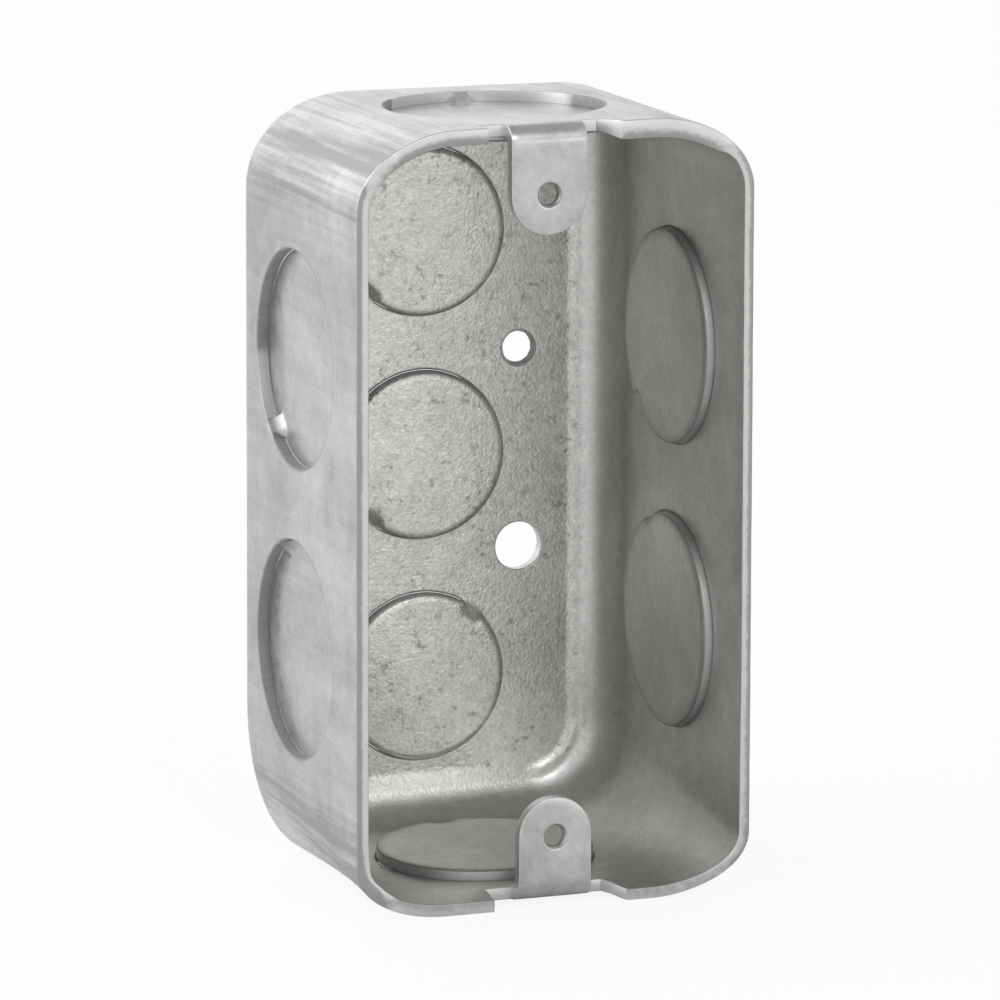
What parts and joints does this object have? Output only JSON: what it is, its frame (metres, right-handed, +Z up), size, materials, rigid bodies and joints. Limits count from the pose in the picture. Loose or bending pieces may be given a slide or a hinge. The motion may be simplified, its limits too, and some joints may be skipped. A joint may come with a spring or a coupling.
{
  "type": "electrical handy box",
  "caption": "Deep-drawn galvanised steel handy box, open at the front, with bent-in screw ears and pushed-in round knockouts on the sides, ends and back.",
  "frame": {"origin": "centre of the box in plan, at the lowest point of the lower end, which is the rim of the lower end wall", "axes": "+Z up the long way of the box, -Y out of the open side, +X to the right when looking into the box"},
  "size_m": [0.054, 0.0476, 0.1016],
  "materials": {
    "galvanised_steel": "satin galvanised, slightly mottled"
  },
  "bodies": {
    "root": {"handy_box": "galvanised_steel"}
  },
  "joints": []
}
